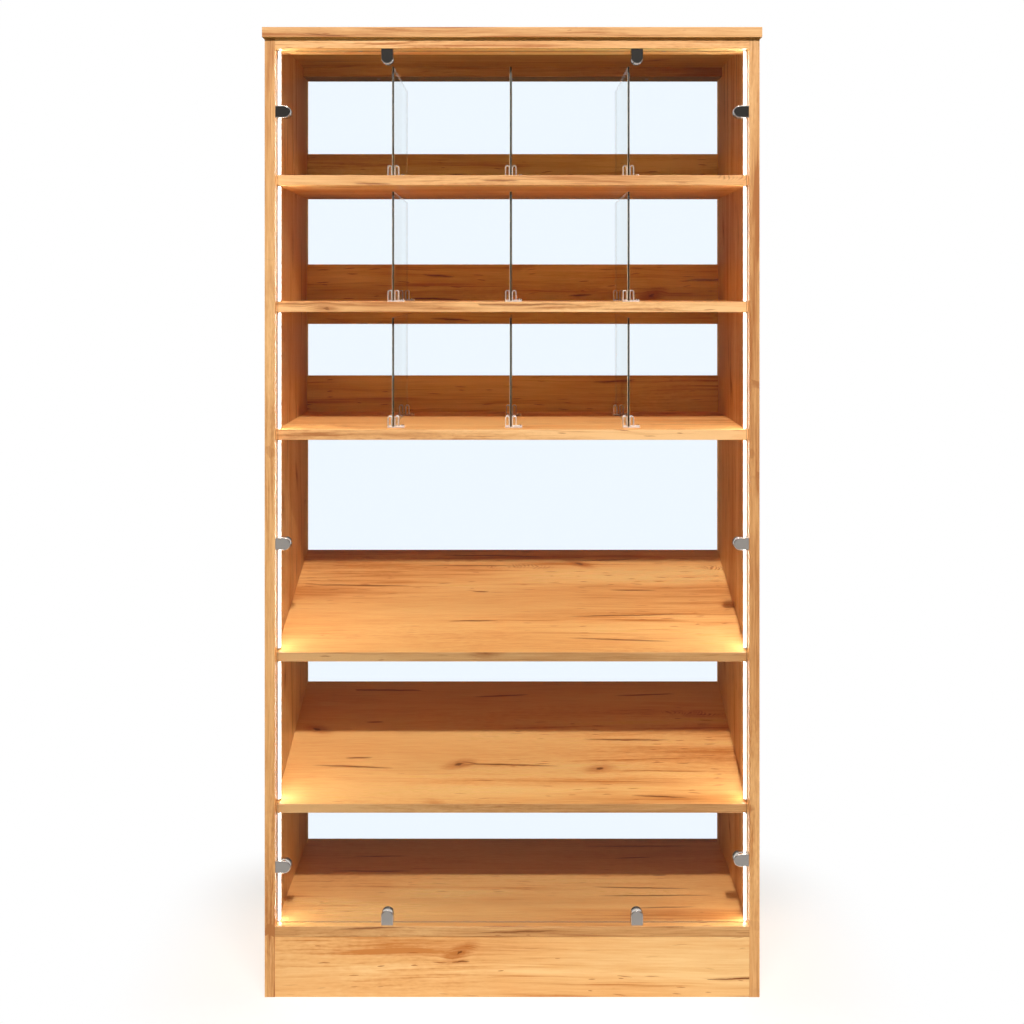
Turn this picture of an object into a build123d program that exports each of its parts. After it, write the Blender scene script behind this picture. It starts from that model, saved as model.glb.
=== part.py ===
from build123d import *
from math import cos, radians, sin, tan
import os

# A free-standing display cabinet: a board carcass with an open back, three level shelves
# split into bays by glass dividers, two sloped shelves below, a fixed front pane held in
# clamps, and a light strip up each side. Millimetres. +Z is up and the front faces -Y.
# The origin is on the floor, under the middle of the cap's footprint.

# Overall sizes. The cap stands proud of the carcass at the front and at both sides.
cabinet_width = 870.0
cabinet_height = 1704.0
carcass_depth = 400.0
cap_overhang = 7.5
cap_side_overhang = 3.5

# Boards
board = 18.0
rail_thickness = 18.0
rail_width = 70.0
stop_thickness = 15.0
stop_height = 73.0
stiffener_height = 30.0
band = 1.0
band_rounding = 0.6
plinth_height = 106.0
kick_recess = 1.0
plinth_rear_recess = 5.0

# Clear heights: the three bays hang from the cap, the sloped shelves stand on the bottom
# panel, and the open space between them takes up any change of height
shelf_setback = 16.0
upper_bay_height = 240.0
middle_bay_height = 206.0
lower_bay_height = 208.0
bottom_bay_height = 210.0
sloped_shelf_pitch = 268.0
slope_angle = 16.5

# Front pane and its clamps
pane_thickness = 4.0
pane_setback = 10.0
pane_gap = 3.0
pane_chamfer = 0.5
clamp_width = 22.0
clamp_length = 27.0
clamp_web = 2.6
clamp_front_jaw = 6.0
clamp_rear_jaw = 7.0
clamp_rounding = 1.8
pad_thickness = 1.0
pad_margin = 1.5
clamp_low_left = 227.0
clamp_low_right = 239.0
clamp_middle = 796.0
clamp_top_drop = 111.0
end_clamp_spread = 220.0

# Glass dividers and their clips
divider_thickness = 4.0
divider_height = 196.0
divider_setback = 50.0
divider_rear_gap = 13.0
divider_pitch = 211.0
divider_shift = -2.5
clip_length = 18.0
clip_height = 21.0
clip_loop_width = 8.0
clip_wall = 1.5
clip_base = 1.5
clip_foot_length = 10.0
clip_foot_thickness = 3.0
clip_slot_clearance = 0.15
clip_screw_margin = 0.5
rear_clip_inset = 82.0

# Light strips
strip_width = 12.0
strip_setback = 22.0
channel_height = 2.2
channel_base = 1.0
channel_wall = 1.0
tape_width = 8.0
tape_thickness = 0.6
diffuser_rise = 3.8
diffuser_wall = 1.0
strip_cap_thickness = 1.5
strip_end_gap = 0.5
lead_diameter = 3.0
lead_clearance = 0.3

# Power supply in the plinth, inlet in the rear plinth board
driver_length = 150.0
driver_width = 40.0
driver_height = 28.0
driver_setback = 85.0
driver_lug_length = 13.0
driver_lug_width = 14.0
driver_lug_thickness = 2.5
driver_rounding = 2.0
lead_drop = 5.0
lead_bend = 12.0
lead_clip_length = 10.0
lead_clip_wall = 1.5
lead_clip_spread = (130.0, 220.0, 310.0)
mains_diameter = 6.0
inlet_x = 40.0
inlet_z = 55.0
inlet_width = 28.0
inlet_height = 20.0
inlet_depth = 24.0
inlet_flange = 2.5
inlet_flange_margin = 10.0
inlet_wall = 2.0
inlet_corner = 3.0
inlet_cavity_corner = 2.0
inlet_cavity_depth = 16.0
pin_width = 4.0
pin_height = 2.0
pin_length = 12.0
pin_pitch = 7.0

# Fasteners
hole_clearance = 0.1
confirmat_head = 10.0
confirmat_head_height = 4.0
confirmat_shoulder = 7.0
confirmat_core = 6.0
confirmat_length = 48.0
confirmat_socket = 4.0
confirmat_socket_depth = 3.0
confirmat_inset = 60.0
cover_diameter = 13.0
cover_thickness = 2.0
dowel_diameter = 8.0
dowel_length = 30.0
dowel_end_play = 1.0
side_dowel_depth = 11.0
cap_dowel_depth = 10.0
cap_dowel_shares = (0.2, 0.5, 0.8)
hole_end_play = 1.0
wood_screw_diameter = 4.0
wood_screw_head = 8.0
wood_screw_head_height = 3.0
cap_screw_length = 28.0
stop_screw_length = 40.0
stiffener_screw_length = 44.0
cap_screw_spread = (-270.0, 0.0, 270.0)
stop_screw_spread = (-290.0, 0.0, 290.0)
stiffener_screw_spread = (-145.0, 145.0)
small_screw_diameter = 3.0
small_screw_head = 6.0
small_screw_head_height = 2.2
small_screw_length = 13.0
slot_width = 1.0
slot_depth = 1.2
clamp_screw_length = 38.0
clamp_screw_head = 5.4
clamp_screw_head_height = 2.4
set_screw_diameter = 4.0
set_screw_spread = 6.5
set_screw_u = 12.0
set_screw_socket = 2.0
set_screw_socket_depth = 2.0
set_screw_sink = 1.0

# Places worked out from the sizes above
inner = cabinet_width / 2 - board
cap_half = cabinet_width / 2 + cap_side_overhang
cap_front = -(carcass_depth + cap_overhang) / 2
front = cap_front + cap_overhang
rear = front + carcass_depth
panel_top = cabinet_height - board
rail_bottom = panel_top - rail_thickness
bottom_top = plinth_height + board
shelf_front = front + shelf_setback
shelf_upper_z = panel_top - upper_bay_height
shelf_middle_z = shelf_upper_z - board - middle_bay_height
shelf_lower_z = shelf_middle_z - board - lower_bay_height
sloped_lower_z = bottom_top + bottom_bay_height
sloped_upper_z = sloped_lower_z + sloped_shelf_pitch
stop_front = rear - stop_thickness
pane_front = front + pane_setback
pane_rear = pane_front + pane_thickness
strip_front = front + strip_setback
strip_rear = strip_front + strip_width
strip_y = (strip_front + strip_rear) / 2
jaw_front = pane_front - pad_thickness - clamp_front_jaw
jaw_rear = pane_rear + pad_thickness + clamp_rear_jaw

os.makedirs("parts", exist_ok=True)


def block(x, y, z):
    """Box between the two values given for each axis."""
    size = (x[1] - x[0], y[1] - y[0], z[1] - z[0])
    corner = Pos(x[0], y[0], z[0])
    return corner * Box(*size, align=(Align.MIN, Align.MIN, Align.MIN))


def rod(start, direction, radius, length):
    """Cylinder that starts at a point and runs along a direction."""
    place = Plane(origin=start, z_dir=direction)
    return place * Cylinder(radius, length, align=(Align.CENTER, Align.CENTER, Align.MIN))


def cone(start, direction, radius, tip_radius, length):
    """Cone from a wide start to a narrower end."""
    place = Plane(origin=start, z_dir=direction)
    return place * Cone(radius, tip_radius, length, align=(Align.CENTER, Align.CENTER, Align.MIN))


def along(start, direction, distance):
    """Point at a distance from the start along a direction."""
    return tuple(Vector(*start) + Vector(*direction) * distance)


def save(name, solids):
    """Write one node: a solid, or a group of separate solids."""
    group = list(solids) if isinstance(solids, (list, tuple)) else [solids]
    pieces = [piece for item in group for piece in item.solids()]
    shape = pieces[0] if len(pieces) == 1 else Compound(children=pieces)
    export_step(shape, f"parts/{name}.step")


def banding(x, y, z, face, sign):
    """Edge band with its outer face's edges rounded. The face is square to an axis, and sign
    says which of its two sides is the outer one."""
    strip = block(x, y, z)
    outer = strip.faces().sort_by(face)[-1 if sign > 0 else 0]
    return fillet(outer.edges(), band_rounding)


def cut(shape, tools):
    """Take every tool that was gathered for a board out of it."""
    return shape - tools if tools else shape


# Boards that run between the side panels. Each has a frame at its top front edge, with
# local y along the board towards the rear and local z square to it.
class Shelf:
    def __init__(self, name, front_y, top_z, angle, thickness, depth):
        self.name = name
        self.angle = angle
        self.thickness = thickness
        self.frame = Location((0, front_y, top_z), (angle, 0, 0))
        self.front_y = front_y
        self.top_z = top_z
        self.depth = depth
        self.holes = []

    def point(self, x, y, z):
        """Global point for a place in the board's own frame."""
        return tuple((self.frame * Location((x, y, z))).position)

    def top_at(self, y):
        return self.top_z + (y - self.front_y) * tan(radians(self.angle))

    def underside_at(self, y):
        return self.top_at(y) - self.thickness / cos(radians(self.angle))

    def body(self):
        core = block((-inner, inner), (band, self.depth - band), (-self.thickness, 0))
        return cut(self.frame * core, self.holes)

    def bands(self):
        span = (-inner, inner)
        front_band = banding(span, (0, band), (-self.thickness, 0), Axis.Y, -1)
        rear_y = (self.depth - band, self.depth)
        rear_band = banding(span, rear_y, (-self.thickness, 0), Axis.Y, 1)
        return [self.frame * front_band, self.frame * rear_band]


level_depth = rear - shelf_front
lean = board * sin(radians(slope_angle))
sloped_depth = (level_depth - lean) / cos(radians(slope_angle))

top_rail_front = Shelf("top_rail_front", front, panel_top, 0, rail_thickness, rail_width)
top_rail_rear = Shelf("top_rail_rear", rear - rail_width, panel_top, 0, rail_thickness, rail_width)
shelf_upper = Shelf("shelf_upper", shelf_front, shelf_upper_z, 0, board, level_depth)
shelf_middle = Shelf("shelf_middle", shelf_front, shelf_middle_z, 0, board, level_depth)
shelf_lower = Shelf("shelf_lower", shelf_front, shelf_lower_z, 0, board, level_depth)
sloped_upper = Shelf("sloped_shelf_upper", shelf_front, sloped_upper_z, slope_angle, board, sloped_depth)
sloped_lower = Shelf("sloped_shelf_lower", shelf_front, sloped_lower_z, slope_angle, board, sloped_depth)
bottom_panel = Shelf("bottom_panel", front, bottom_top, 0, board, carcass_depth)

rails = [top_rail_front, top_rail_rear]
display_shelves = [shelf_upper, shelf_middle, shelf_lower]
crossing_shelves = display_shelves + [sloped_upper, sloped_lower]
full_boards = crossing_shelves + [bottom_panel]

side_holes = {-1: [], 1: []}
cap_holes = []
kick_holes = []
plinth_rear_holes = []


# Confirmat screws through the side panels, with a flush cover over each head
confirmats = []
covers = []


def confirmat(side, y, z, board_holes):
    """One screw through a side panel into the end of a board."""
    inward = (-side, 0, 0)
    face = (side * cabinet_width / 2, y, z)
    head_start = along(face, inward, cover_thickness)
    shoulder_start = along(head_start, inward, confirmat_head_height)
    shoulder_length = board - cover_thickness - confirmat_head_height
    core_start = along(shoulder_start, inward, shoulder_length)
    core_length = confirmat_length - confirmat_head_height - shoulder_length
    head = rod(head_start, inward, confirmat_head / 2, confirmat_head_height)
    shoulder = rod(shoulder_start, inward, confirmat_shoulder / 2, shoulder_length)
    core = rod(core_start, inward, confirmat_core / 2, core_length)
    socket = rod(head_start, inward, confirmat_socket / 2, confirmat_socket_depth)
    confirmats.append(head + shoulder + core - socket)
    covers.append(rod(face, inward, cover_diameter / 2, cover_thickness))
    side_holes[side].append(rod(face, inward, cover_diameter / 2 + hole_clearance, cover_thickness))
    side_holes[side].append(
        rod(head_start, inward, confirmat_head / 2 + hole_clearance, confirmat_head_height)
    )
    side_holes[side].append(
        rod(shoulder_start, inward, confirmat_shoulder / 2 + hole_clearance, shoulder_length)
    )
    hole_length = core_length + hole_end_play
    board_holes.append(rod(core_start, inward, confirmat_core / 2 + hole_clearance, hole_length))


# Dowels across each joint, half in each board
dowels = []


def dowel(middle, direction, first_length, holes_first, holes_second):
    """One dowel that reaches first_length into the board behind the joint."""
    start = along(middle, direction, -first_length)
    dowels.append(rod(start, direction, dowel_diameter / 2, dowel_length))
    hole_radius = dowel_diameter / 2 + hole_clearance
    hole_start = along(start, direction, -dowel_end_play)
    second_length = dowel_length - first_length + dowel_end_play
    holes_first.append(rod(hole_start, direction, hole_radius, first_length + dowel_end_play))
    holes_second.append(rod(middle, direction, hole_radius, second_length))


for side in (-1, 1):
    for shelf in full_boards:
        for y in (confirmat_inset, shelf.depth - confirmat_inset):
            _, screw_y, screw_z = shelf.point(side * inner, y, -shelf.thickness / 2)
            confirmat(side, screw_y, screw_z, shelf.holes)
        joint = shelf.point(side * inner, shelf.depth / 2, -shelf.thickness / 2)
        dowel(joint, (-side, 0, 0), side_dowel_depth, side_holes[side], shelf.holes)
    for rail in rails:
        _, screw_y, screw_z = rail.point(side * inner, rail.depth / 2, -rail.thickness / 2)
        confirmat(side, screw_y, screw_z, rail.holes)
    confirmat(side, front + kick_recess + board / 2, plinth_height / 2, kick_holes)
    confirmat(side, rear - plinth_rear_recess - board / 2, plinth_height / 2, plinth_rear_holes)
    for share in cap_dowel_shares:
        joint = (side * (inner + board / 2), front + share * carcass_depth, panel_top)
        below = dowel_length - cap_dowel_depth
        dowel(joint, (0, 0, 1), below, side_holes[side], cap_holes)


# Countersunk wood screws, driven upwards
wood_screws = []


def wood_screw(start, direction, length, holes):
    """Countersunk screw with a straight slot; every board it passes gets its hole."""
    head = cone(start, direction, wood_screw_head / 2, wood_screw_diameter / 2, wood_screw_head_height)
    shank = rod(start, direction, wood_screw_diameter / 2, length)
    slot = block((-wood_screw_head, wood_screw_head), (-slot_width / 2, slot_width / 2), (0, slot_depth))
    wood_screws.append(head + shank - Plane(origin=start, z_dir=direction) * slot)
    sink = cone(
        start,
        direction,
        wood_screw_head / 2 + hole_clearance,
        wood_screw_diameter / 2 + hole_clearance,
        wood_screw_head_height,
    )
    shaft = rod(start, direction, wood_screw_diameter / 2 + hole_clearance, length + hole_end_play)
    for board_holes in holes:
        board_holes.append(sink + shaft)


for rail in rails:
    for x in cap_screw_spread:
        middle = rail.point(x, rail.depth / 2, -rail.thickness)
        wood_screw(middle, (0, 0, 1), cap_screw_length, [rail.holes, cap_holes])

# Back stops stand on the three level shelves, flush with the rear
stops = {}
for shelf in display_shelves:
    stop_holes = []
    for x in stop_screw_spread:
        start = (x, rear - stop_thickness / 2, shelf.top_z - board)
        wood_screw(start, (0, 0, 1), stop_screw_length, [shelf.holes, stop_holes])
    body = block((-inner, inner), (stop_front, rear), (shelf.top_z, shelf.top_z + stop_height - band))
    stops[shelf.name.replace("shelf", "back_stop")] = cut(body, stop_holes)

# Stiffener under the rear of the middle shelf
stiffener_top = shelf_middle_z - board
stiffener_bottom = stiffener_top - stiffener_height
stiffener_holes = []
for x in stiffener_screw_spread:
    start = (x, rear - stop_thickness / 2, stiffener_bottom)
    wood_screw(start, (0, 0, 1), stiffener_screw_length, [stiffener_holes, shelf_middle.holes])
stiffener = block((-inner, inner), (stop_front, rear), (stiffener_bottom + band, stiffener_top))

# Edge bands on stops and stiffener
narrow_bands = []
for shelf in display_shelves:
    band_z = (shelf.top_z + stop_height - band, shelf.top_z + stop_height)
    narrow_bands.append(banding((-inner, inner), (stop_front, rear), band_z, Axis.Z, 1))
band_z = (stiffener_bottom, stiffener_bottom + band)
stiffener_band = banding((-inner, inner), (stop_front, rear), band_z, Axis.Z, -1)
narrow_bands.append(cut(stiffener_band, stiffener_holes))

# Front pane
pane_half = inner - pane_gap
pane_bottom = bottom_top + pane_gap
pane_top = rail_bottom - pane_gap
pane = block((-pane_half, pane_half), (pane_front, pane_rear), (pane_bottom, pane_top))
pane = chamfer(pane.edges(), pane_chamfer)


# Pane clamps. In a clamp's own frame u runs off the board, v along it and w to the rear.
clamp_groups = {"left": [], "right": [], "top": [], "bottom": []}
clamp_pads = []
clamp_screws = []
set_screws = []
clamp_nose = clamp_width / 2
clamp_straight = clamp_length - clamp_nose


def clamp_outline(margin, u_start):
    """The D outline in u and v, drawn in by a margin."""
    half = clamp_nose - margin
    straight = Pos((u_start + clamp_straight) / 2, 0) * Rectangle(clamp_straight - u_start, 2 * half)
    return straight + Pos(clamp_straight, 0) * Circle(half)


def clamp_prism(margin, u_start, w_start, w_end):
    return Pos(0, 0, w_start) * extrude(clamp_outline(margin, u_start), w_end - w_start)


def clamp(place, wall_holes, group):
    """One clamp at a frame whose x is u, y is v and z is w, counted from the front plane."""
    front_w = jaw_front - front
    pane_w = (pane_front - front, pane_rear - front)
    rear_w = jaw_rear - front
    middle_w = rear_w - clamp_rear_jaw / 2
    body = clamp_prism(0, 0, front_w, rear_w)
    rim = body.edges().filter_by_position(Axis.Z, front_w, front_w)
    rim = [edge for edge in rim if edge.center().X > 0.1]
    body = fillet(rim, clamp_rounding)
    throat = block(
        (clamp_web, clamp_length + 1),
        (-clamp_width, clamp_width),
        (pane_w[0] - pad_thickness, pane_w[1] + pad_thickness),
    )
    head_start = (clamp_length, 0, middle_w)
    screw_hole = rod(head_start, (-1, 0, 0), small_screw_diameter / 2 + hole_clearance, clamp_length)
    sink = rod(head_start, (-1, 0, 0), clamp_screw_head / 2 + hole_clearance, clamp_screw_head_height)
    body = body - throat - screw_hole - sink
    for v in (-set_screw_spread, set_screw_spread):
        start = (set_screw_u, v, rear_w - clamp_rear_jaw)
        body -= rod(start, (0, 0, 1), set_screw_diameter / 2 + hole_clearance, clamp_rear_jaw)
        grub_length = clamp_rear_jaw - set_screw_sink
        grub = rod(start, (0, 0, 1), set_screw_diameter / 2, grub_length)
        key = extrude(RegularPolygon(set_screw_socket / 2, 6), set_screw_socket_depth)
        key_w = start[2] + grub_length - set_screw_socket_depth
        set_screws.append(place * (grub - Pos(set_screw_u, v, key_w) * key))
    clamp_groups[group].append(place * body)
    for w_start in (pane_w[0] - pad_thickness, pane_w[1]):
        pad = clamp_prism(pad_margin, clamp_web, w_start, w_start + pad_thickness)
        clamp_pads.append(place * pad)
    head = rod(head_start, (-1, 0, 0), clamp_screw_head / 2, clamp_screw_head_height)
    shank = rod(head_start, (-1, 0, 0), small_screw_diameter / 2, clamp_screw_length)
    slot = block(
        (clamp_length - slot_depth, clamp_length),
        (-clamp_screw_head, clamp_screw_head),
        (middle_w - slot_width / 2, middle_w + slot_width / 2),
    )
    clamp_screws.append(place * (head + shank - slot))
    foot = (0, 0, middle_w)
    depth = clamp_screw_length - clamp_length + hole_end_play
    wall_holes.append(place * rod(foot, (-1, 0, 0), small_screw_diameter / 2 + hole_clearance, depth))


for side, low_z, group in ((-1, clamp_low_left, "left"), (1, clamp_low_right, "right")):
    for z in (low_z, clamp_middle, rail_bottom - clamp_top_drop):
        place = Plane(origin=(side * inner, front, z), x_dir=(-side, 0, 0), z_dir=(0, 1, 0))
        clamp(place, side_holes[side], group)
for x in (-end_clamp_spread, end_clamp_spread):
    hung = Plane(origin=(x, front, rail_bottom), x_dir=(0, 0, -1), z_dir=(0, 1, 0))
    clamp(hung, top_rail_front.holes, "top")
    stood = Plane(origin=(x, front, bottom_top), x_dir=(0, 0, 1), z_dir=(0, 1, 0))
    clamp(stood, bottom_panel.holes, "bottom")


# Glass dividers, each held at the bottom by a front and a rear clip
slot_half = divider_thickness / 2 + clip_slot_clearance
foot_end = slot_half + clip_loop_width + clip_foot_length


def clip_loop(side):
    """Hollow loop beside the slot, with a rounded top."""
    middle = side * (slot_half + clip_loop_width / 2)
    round_radius = clip_loop_width / 2
    straight = clip_height - round_radius
    outline = Pos(middle, straight / 2) * Rectangle(clip_loop_width, straight)
    outline += Pos(middle, straight) * Circle(round_radius)
    hollow_low = clip_foot_thickness
    hollow_half = round_radius - clip_wall
    hollow = Pos(middle, (hollow_low + straight) / 2)
    hollow *= Rectangle(2 * hollow_half, straight - hollow_low)
    hollow += Pos(middle, straight) * Circle(hollow_half)
    return outline - hollow


def divider_clip(x, y, z, shelf_holes):
    """One clip and its screw. The divider stands on the clip's base."""
    base_left = -(slot_half + clip_loop_width)
    base = Pos((base_left + foot_end) / 2, clip_base / 2) * Rectangle(foot_end - base_left, clip_base)
    foot_middle = (slot_half + foot_end) / 2
    foot = Pos(foot_middle, clip_foot_thickness / 2)
    foot *= Rectangle(foot_end - slot_half, clip_foot_thickness)
    profile = clip_loop(-1) + clip_loop(1) + base + foot
    section = Plane(origin=(x, y, z), x_dir=(1, 0, 0), z_dir=(0, -1, 0))
    body = section * Pos(0, 0, -clip_length) * extrude(profile, clip_length)
    screw_x = x + foot_end - small_screw_head / 2 - clip_screw_margin
    screw_y = y + clip_length / 2
    head_base = (screw_x, screw_y, z + clip_foot_thickness)
    down = (0, 0, -1)
    hole_length = small_screw_length + hole_end_play
    hole = rod(head_base, down, small_screw_diameter / 2 + hole_clearance, hole_length)
    shelf_holes.append(hole)
    head_top = (screw_x, screw_y, z + clip_foot_thickness + small_screw_head_height)
    head = rod(head_top, down, small_screw_head / 2, small_screw_head_height)
    head = fillet(head.edges().group_by(Axis.Z)[-1], small_screw_head_height / 2)
    shank = rod(head_base, down, small_screw_diameter / 2, small_screw_length)
    slot = block(
        (screw_x - slot_width / 2, screw_x + slot_width / 2),
        (screw_y - small_screw_head, screw_y + small_screw_head),
        (head_top[2] - slot_depth, head_top[2]),
    )
    return body - hole, head + shank - slot


dividers = {}
clip_groups = {}
clip_screws = []
divider_front = front + divider_setback
divider_rear = stop_front - divider_rear_gap
columns = {"left": -divider_pitch, "middle": 0, "right": divider_pitch}
for shelf in display_shelves:
    row = shelf.name.replace("shelf_", "")
    clips = []
    for column, offset in columns.items():
        x = offset + divider_shift
        low = shelf.top_z + clip_base
        sheet = block(
            (x - divider_thickness / 2, x + divider_thickness / 2),
            (divider_front, divider_rear),
            (low, low + divider_height),
        )
        dividers[f"divider_{row}_{column}"] = chamfer(sheet.edges(), pane_chamfer)
        for clip_front in (divider_front, divider_rear - rear_clip_inset):
            clip, screw = divider_clip(x, clip_front, shelf.top_z, shelf.holes)
            clips.append(clip)
            clip_screws.append(screw)
    clip_groups[f"divider_clips_{row}"] = clips


# Light strips: an aluminium channel, a tape of lamps, a domed cover and two end caps in
# each compartment, joined through the shelves by short leads
def strip_sections():
    """Channel, tape, cover and end cap, drawn with x off the wall and y to the rear."""
    half = strip_width / 2
    channel = Pos(channel_height / 2, 0) * Rectangle(channel_height, strip_width)
    trough_depth = channel_height - channel_base
    trough = Pos(channel_base + trough_depth / 2, 0)
    trough *= Rectangle(trough_depth, strip_width - 2 * channel_wall)
    tape = Pos(channel_base + tape_thickness / 2, 0) * Rectangle(tape_thickness, tape_width)
    crest = channel_height + diffuser_rise
    outer = make_face([
        ThreePointArc((channel_height, -half), (crest, 0), (channel_height, half)),
        Line((channel_height, half), (channel_height, -half)),
    ])
    inner_half = half - diffuser_wall
    void = make_face([
        ThreePointArc(
            (channel_height, -inner_half), (crest - diffuser_wall, 0), (channel_height, inner_half)
        ),
        Line((channel_height, inner_half), (channel_height, -inner_half)),
    ])
    end = Pos(channel_height / 2, 0) * Rectangle(channel_height, strip_width) + outer
    return channel - trough, tape, outer - void, end


channel_section, tape_section, cover_section, end_section = strip_sections()
strip_parts = {-1: {"channel": [], "cover": []}, 1: {"channel": [], "cover": []}}
tapes = []
strip_caps = []
jumpers = []
lead_x = inner - channel_height / 2 - lead_diameter / 2
compartments = [
    (shelf_upper, rail_bottom),
    (shelf_middle, shelf_upper.underside_at(strip_front)),
    (shelf_lower, shelf_middle.underside_at(strip_front)),
    (sloped_upper, shelf_lower.underside_at(strip_front)),
    (sloped_lower, sloped_upper.underside_at(strip_front)),
    (bottom_panel, sloped_lower.underside_at(strip_front)),
]
spans = []
for floor, ceiling in compartments:
    spans.append((floor.top_at(strip_rear) + strip_end_gap, ceiling - strip_end_gap))


def strip_piece(section, side, low, high):
    """Stand a section up along a side panel between two heights."""
    piece = extrude(section, high - low)
    turn = Plane(origin=(side * inner, strip_y, low), x_dir=(-side, 0, 0), z_dir=(0, 0, 1))
    return turn * piece


for side in (-1, 1):
    for low, high in spans:
        body_low = low + strip_cap_thickness
        body_high = high - strip_cap_thickness
        strip_parts[side]["channel"].append(strip_piece(channel_section, side, body_low, body_high))
        strip_parts[side]["cover"].append(strip_piece(cover_section, side, body_low, body_high))
        tapes.append(strip_piece(tape_section, side, body_low, body_high))
        strip_caps.append(strip_piece(end_section, side, low, body_low))
        strip_caps.append(strip_piece(end_section, side, body_high, high))
    for shelf, above, below in zip(crossing_shelves, spans, spans[1:]):
        start = (side * lead_x, strip_y, below[1])
        jumpers.append(rod(start, (0, 0, 1), lead_diameter / 2, above[0] - below[1]))
        hole_radius = lead_diameter / 2 + lead_clearance
        shelf.holes.append(rod(start, (0, 0, 1), hole_radius, above[0] - below[1]))


# Power supply under the bottom panel, near the front
driver_low = plinth_height - driver_height
driver_y = (front + driver_setback, front + driver_setback + driver_width)
driver_middle = sum(driver_y) / 2
driver_half = driver_length / 2
driver = block((-driver_half, driver_half), driver_y, (driver_low, plinth_height))
driver = fillet(driver.edges().filter_by(Axis.Z), driver_rounding)
driver_screws = []


def panel_screw(x, y, face_z):
    """Pan-head screw driven up into the bottom panel from a face below it."""
    head_low = (x, y, face_z - small_screw_head_height)
    head = rod(head_low, (0, 0, 1), small_screw_head / 2, small_screw_head_height)
    head = fillet(head.edges().group_by(Axis.Z)[0], small_screw_head_height / 2)
    shank = rod((x, y, face_z), (0, 0, 1), small_screw_diameter / 2, small_screw_length)
    hole_length = small_screw_length + hole_end_play
    hole = rod((x, y, face_z), (0, 0, 1), small_screw_diameter / 2 + hole_clearance, hole_length)
    bottom_panel.holes.append(hole)
    return head + shank, hole


for side in (-1, 1):
    lug_x = sorted((side * driver_half, side * (driver_half + driver_lug_length)))
    lug_y = (driver_middle - driver_lug_width / 2, driver_middle + driver_lug_width / 2)
    lug = block(lug_x, lug_y, (plinth_height - driver_lug_thickness, plinth_height))
    screw_x = side * (driver_half + driver_lug_length / 2)
    screw, hole = panel_screw(screw_x, driver_middle, plinth_height - driver_lug_thickness)
    driver = driver + lug - hole
    driver_screws.append(screw)


# Low-voltage leads from the power supply to the foot of each strip
def lead_tube(points, diameter, bend):
    """Round lead along straight runs joined by tangent arcs."""
    path = FilletPolyline(*points, radius=bend)
    start_plane = Plane(origin=path @ 0, z_dir=path % 0)
    return sweep(start_plane * Circle(diameter / 2), path=path)


lead_z = plinth_height - lead_drop
lead_y = driver_y[1] - lead_bend
feed_leads = []
strip_foot = spans[-1][0]
for side in (-1, 1):
    points = [
        (side * driver_half, lead_y, lead_z),
        (side * lead_x, lead_y, lead_z),
        (side * lead_x, strip_y, lead_z),
        (side * lead_x, strip_y, strip_foot),
    ]
    feed_leads.append(lead_tube(points, lead_diameter, [lead_bend, lead_diameter]))
    hole_radius = lead_diameter / 2 + lead_clearance
    way_up = (side * lead_x, strip_y, plinth_height)
    bottom_panel.holes.append(rod(way_up, (0, 0, 1), hole_radius, board))

# Clips that hold those leads against the bottom panel
lead_clips = []
clip_inner = lead_diameter / 2 + lead_clip_wall
for side in (-1, 1):
    for spread in lead_clip_spread:
        x = (side * spread - lead_clip_length / 2, side * spread + lead_clip_length / 2)
        y = (lead_y - clip_inner, lead_y + clip_inner)
        saddle = block(x, y, (lead_z - clip_inner, plinth_height))
        way = rod((x[0], lead_y, lead_z), (1, 0, 0), lead_diameter / 2, lead_clip_length)
        lead_clips.append(saddle - way)

# Power inlet in the rear plinth board, and the lead from it to the power supply
plinth_rear_face = rear - plinth_rear_recess
inlet_front = plinth_rear_face - inlet_depth
inlet_x_range = (inlet_x - inlet_width / 2, inlet_x + inlet_width / 2)
inlet_z_range = (inlet_z - inlet_height / 2, inlet_z + inlet_height / 2)
inlet_body = block(inlet_x_range, (inlet_front, plinth_rear_face), inlet_z_range)
flange_x = (inlet_x_range[0] - inlet_flange_margin, inlet_x_range[1] + inlet_flange_margin)
flange = block(flange_x, (plinth_rear_face, plinth_rear_face + inlet_flange), inlet_z_range)
flange = fillet(flange.edges().filter_by(Axis.Y), inlet_corner)
cavity = block(
    (inlet_x_range[0] + inlet_wall, inlet_x_range[1] - inlet_wall),
    (plinth_rear_face + inlet_flange - inlet_cavity_depth, plinth_rear_face + inlet_flange),
    (inlet_z_range[0] + inlet_wall, inlet_z_range[1] - inlet_wall),
)
cavity = fillet(cavity.edges().filter_by(Axis.Y), inlet_cavity_corner)
inlet = inlet_body + flange - cavity
plinth_rear_holes.append(
    block(
        (inlet_x_range[0] - hole_clearance, inlet_x_range[1] + hole_clearance),
        (inlet_front - board, plinth_rear_face),
        (inlet_z_range[0] - hole_clearance, inlet_z_range[1] + hole_clearance),
    )
)
inlet_screws = []
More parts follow.
